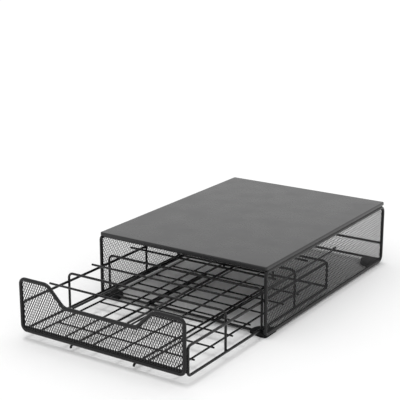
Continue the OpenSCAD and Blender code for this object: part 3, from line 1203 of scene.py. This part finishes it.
@dataclass
class FrontPanel:
    """The drawer's front: a loop of wire with a low middle, filled with expanded mesh."""

    wire: float = 4.8
    play: float = 0.15
    low_half: float = 57.0
    low_top: float = 61.1
    corner: float = 7.5
    knee: float = 15.0
    knee_bend: float = 45.0
    mesh: ExpandedMesh = field(default_factory=lambda: ExpandedMesh(strand=0.9))

    def ring(self, inset: float) -> list[Corner]:
        """Draw the wire's centre line, or an outline inside it.

        Args:
            inset: How far the outline stands in from the centre line.

        Returns:
            Its eight corners.
        """
        low, high = node_box("panel_frame")
        half = self.wire / 2
        right, bottom, top = high.x - half, low.z + half, high.z - half
        low_top = self.low_top - half
        high_half = self.low_half + top - low_top
        slip = inset * math.tan(math.radians(self.knee_bend / 2))
        points = [
            (-right + inset, bottom + inset),
            (right - inset, bottom + inset),
            (right - inset, top - inset),
            (high_half + slip, top - inset),
            (self.low_half + slip, low_top - inset),
            (-self.low_half - slip, low_top - inset),
            (-high_half - slip, top - inset),
            (-right + inset, top - inset),
        ]
        corner, upper, lower = self.corner - inset, self.knee - inset, self.knee + inset
        return corners(points, [corner, corner, corner, upper, lower, lower, upper, corner])

    def build(self, finishes: Finishes) -> None:
        """Make the mesh and dress the wire.

        Args:
            finishes: The finished materials.
        """
        dress_node("panel_frame", Slot.WIRE, finishes)
        low, high = node_box("panel_mesh")
        y = (low.y + high.y) / 2
        edge = self.wire / 2 + self.play
        ring = self.ring(edge + self.mesh.border)
        low_bounds = [ring[0].edge_bound(), ring[4].edge_bound()]
        high_bounds = [c.edge_bound() for c in ring[:4]] + [c.corner_bound() for c in ring[1:4]]
        mirrored = [((-p[0], p[1]), (-n[0], n[1])) for p, n in high_bounds]

        def bounds(across: float) -> list[Bound]:
            """Find the lines that end the open mesh.

            Args:
                across: Place of a diamond across the panel.

            Returns:
                The lines of the low middle, or of the high side that it stands in.
            """
            if abs(across) < self.low_half:
                return low_bounds
            return high_bounds if across > 0 else mirrored

        middle = (0.0, (ring[0].at[1] + ring[4].at[1]) / 2)
        holes = self.mesh.openings(middle, (high.x, high.z - low.z), bounds)
        form = self.mesh.form(
            lambda inset: outline(self.ring(edge + inset)),
            holes,
            lambda across, up, out: Vector((across, y - out, up)),
        )
        form.piece("expanded_panel_mesh", Slot.MESH, Body.DRAWER, finishes, ["panel_mesh"])


@dataclass
class Basket:
    """The welded wire basket behind the front panel."""

    hoops: tuple[str, ...] = ("hoop_1", "hoop_2", "hoop_3")
    dividers: tuple[str, ...] = tuple(f"divider_{i}" for i in range(1, 5))
    pod_rails: tuple[str, ...] = tuple(f"pod_rail_{i}" for i in range(1, 7))
    floor_wires: tuple[str, ...] = tuple(f"floor_wire_{i}" for i in range(1, 8))
    bottom_rail: float = 11.7
    top_rail: float = 50.0
    floor_weld: Reach = (1.05, 1.0, 0.42)
    rear_bar_weld: Reach = (1.55, 0.45, 1.5)
    cross_bar_weld: Reach = (1.15, 1.3, 0.42)
    panel_weld: Reach = (1.6, 0.5, 1.5)
    runner_weld: Reach = (1.3, 1.05, 0.42)
    hoop_side_weld: Reach = (0.45, 1.5, 1.5)
    hoop_rail_weld: Reach = (1.3, 1.4, 0.42)
    divider_weld: Reach = (1.3, 1.3, 0.42)
    rear_hoop_weld: Reach = (1.9, 0.5, 1.9)
    upright_weld: Reach = (1.0, 0.5, 2.2)
    upright_weld_heights: Point2 = (22.0, 42.0)
    butt_weld: Reach = (0.5, 1.8, 1.8)
    rail_rear_weld: Reach = (1.4, 0.42, 1.5)
    rail_panel_weld: Reach = (1.5, 0.5, 1.2)
    rail_panel_drop: float = 2.0
    loop_weld: Reach = (0.6, 2.43, 2.43)

    def build(self, finishes: Finishes) -> None:
        """Make and dress every wire of the basket.

        Args:
            finishes: The finished materials.
        """
        wires = StraightWires()
        bars = ("panel_cross_bar", "basket_rear_bar")
        for node in (*bars, *self.dividers, *self.pod_rails, *self.floor_wires):
            wires.dress(node, Body.DRAWER, finishes)
        for node in (*self.hoops, "rear_hoop"):
            dress_node(node, Slot.WIRE, finishes)
        for side in ("left", "right"):
            dress_node(f"basket_side_{side}", Slot.WIRE, finishes)
            dress_node(f"column_rail_{side}", Slot.WIRE, finishes)
            dress_node(f"runner_{side}", Slot.WIRE, finishes)
        self.weld(finishes)

    def weld(self, finishes: Finishes) -> None:
        """Add the welds that hold the basket together, and the one that closes the panel's loop.

        Args:
            finishes: The finished materials.
        """
        welds = Welds("drawer_welds", Body.DRAWER, seed=23)
        for rail in self.pod_rails:
            for wire in self.floor_wires:
                welds.cross(rail, wire, self.floor_weld)
            welds.cross(rail, "basket_rear_bar", self.rear_bar_weld)
            welds.cross(rail, "panel_cross_bar", self.cross_bar_weld)
            welds.cross(rail, "panel_frame", self.panel_weld)
        for side in ("left", "right"):
            rail, column_rail = f"basket_side_{side}", f"column_rail_{side}"
            rail_top = node_box(column_rail)[1].z
            for wire in self.floor_wires:
                welds.cross(f"runner_{side}", wire, self.runner_weld)
            for hoop in self.hoops:
                welds.cross(hoop, rail, self.hoop_side_weld, z=self.bottom_rail)
                welds.cross(hoop, rail, self.hoop_side_weld, z=self.top_rail)
                welds.cross(hoop, column_rail, self.hoop_rail_weld, z=rail_top)
            for divider in self.dividers:
                welds.cross(divider, column_rail, self.divider_weld)
            for z in (self.bottom_rail, self.top_rail):
                welds.cross(rail, "rear_hoop", self.rear_hoop_weld, z=z)
            for z in self.upright_weld_heights:
                welds.cross(rail, "panel_frame", self.upright_weld, z=z)
            welds.cross(rail, "panel_cross_bar", self.butt_weld)
            low, high = node_box("basket_rear_bar")
            end = low.x if side == "left" else high.x
            welds.cross("basket_rear_bar", "rear_hoop", self.butt_weld, x=end)
            welds.cross(column_rail, "basket_rear_bar", self.rail_rear_weld)
            panel_z = rail_top - self.rail_panel_drop
            welds.cross(column_rail, "panel_frame", self.rail_panel_weld, z=panel_z)
        low, high = node_box("panel_frame")
        bottom = Vector((0.0, (low.y + high.y) / 2, low.z + FrontPanel.wire / 2))
        welds.swelling(bottom, self.loop_weld, rings=8, sides=24)
        welds.finish(finishes)


def dress_node(node: str, slot: Slot, finishes: Finishes) -> None:
    """Give a CAD node that keeps its solid the finish of its slot.

    Args:
        node: The CAD node.
        slot: Its material slot.
        finishes: The finished materials.
    """
    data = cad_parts[node].data
    data.materials.clear()
    data.materials.append(finishes.of(slot))
    LOG.info("%s: dressed as %s", node, slot.value)


# ---- Studio ------------------------------------------------------------------------------------


@dataclass(frozen=True)
class LampBank:
    """A wide bank of softboxes, far enough away to light the whole floor evenly."""

    name: str
    bearing: float
    height: float
    spread: float
    strength: float
    distance: float = 3.0

    def build(self) -> None:
        """Hang the bank and point it at the middle of the floor."""
        lamp = bpy.data.lights.new(self.name, "SUN")
        lamp.angle = math.radians(self.spread)
        lamp.energy = self.strength
        bank = bpy.data.objects.new(self.name, lamp)
        bearing, height = math.radians(self.bearing), math.radians(self.height)
        place = Vector(
            (
                math.cos(bearing) * math.cos(height),
                math.sin(bearing) * math.cos(height),
                math.sin(height),
            )
        )
        bank.location = place * self.distance
        bank.rotation_euler = (-place).to_track_quat("-Z", "Y").to_euler()
        bpy.context.scene.collection.objects.link(bank)


@dataclass
class Studio:
    """Pale floor, white surroundings, soft lamps and the camera."""

    floor_colour: str = "#fbfbfb"
    floor_reach: float = 30.0
    ambient: float = 0.84
    banks: tuple[LampBank, ...] = (
        LampBank("overhead_bank", bearing=168.0, height=86.0, spread=5.0, strength=0.5),
        LampBank("ceiling_bank", bearing=300.0, height=80.0, spread=30.0, strength=0.3),
    )
    focal_length: float = 99.0
    sensor: float = 36.0
    yaw: float = 33.603
    pitch: float = 16.156
    roll: float = -0.110
    camera_place: tuple[float, float, float] = (0.8011, -1.2470, 0.5741)

    def build(self) -> None:
        """Set the studio up."""
        scene = bpy.context.scene
        scene.view_settings.view_transform = "Standard"
        self.floor()
        self.surroundings()
        for bank in self.banks:
            bank.build()
        self.camera()

    def floor(self) -> None:
        """Lay the pale floor under the feet."""
        reach = self.floor_reach
        data = bpy.data.meshes.new("studio_floor")
        square = [(-reach, -reach), (reach, -reach), (reach, reach), (-reach, reach)]
        data.from_pydata([(x, y, 0.0) for x, y in square], [], [(0, 1, 2, 3)])
        material, tree = empty_material("pale_paper_floor")
        paper = add_node(tree, "ShaderNodeBsdfDiffuse", {"Color": linear(self.floor_colour)})
        add_node(tree, "ShaderNodeOutputMaterial", {"Surface": paper.outputs["BSDF"]})
        data.materials.append(material)
        floor = bpy.data.objects.new("studio_floor", data)
        bpy.context.scene.collection.objects.link(floor)

    def surroundings(self) -> None:
        """White where the camera, gloss and glass look, and a softer ambient light elsewhere."""
        world = bpy.data.worlds.new("studio_world")
        world.use_nodes = True
        tree = world.node_tree
        tree.nodes.clear()
        rays = add_node(tree, "ShaderNodeLightPath")
        camera_or_gloss = add_node(
            tree,
            "ShaderNodeMath",
            {0: rays.outputs["Is Camera Ray"], 1: rays.outputs["Is Glossy Ray"]},
            operation="MAXIMUM",
        )
        seen = add_node(
            tree,
            "ShaderNodeMath",
            {0: camera_or_gloss.outputs[0], 1: rays.outputs["Is Transmission Ray"]},
            operation="MAXIMUM",
        )
        colour = linear("#ffffff")
        white = add_node(tree, "ShaderNodeBackground", {"Color": colour, "Strength": 1.0})
        soft = add_node(tree, "ShaderNodeBackground", {"Color": colour, "Strength": self.ambient})
        mixed = add_node(
            tree,
            "ShaderNodeMixShader",
            {0: seen.outputs[0], 1: soft.outputs["Background"], 2: white.outputs["Background"]},
        )
        add_node(tree, "ShaderNodeOutputWorld", {"Surface": mixed.outputs["Shader"]})
        bpy.context.scene.world = world

    def camera(self) -> None:
        """Stand the camera to the right of the drawer and a little above it."""
        data = bpy.data.cameras.new("studio_camera")
        data.lens = self.focal_length
        data.sensor_width = self.sensor
        data.sensor_fit = "HORIZONTAL"
        camera = bpy.data.objects.new("studio_camera", data)
        turn = (
            Matrix.Rotation(math.radians(self.yaw), 4, "Z")
            @ Matrix.Rotation(math.radians(90 - self.pitch), 4, "X")
            @ Matrix.Rotation(math.radians(self.roll), 4, "Z")
        )
        camera.matrix_world = Matrix.Translation(self.camera_place) @ turn
        bpy.context.scene.collection.objects.link(camera)
        bpy.context.scene.camera = camera


# ---- The product -------------------------------------------------------------------------------


def main() -> None:
    """Build the studio and every sub-assembly in order."""
    logging.basicConfig(level=logging.INFO, format="%(name)s: %(message)s")
    finishes = Finishes()
    Studio().build()
    Housing().build(finishes)
    FrontPanel().build(finishes)
    Basket().build(finishes)


if __name__ == "__main__":
    main()
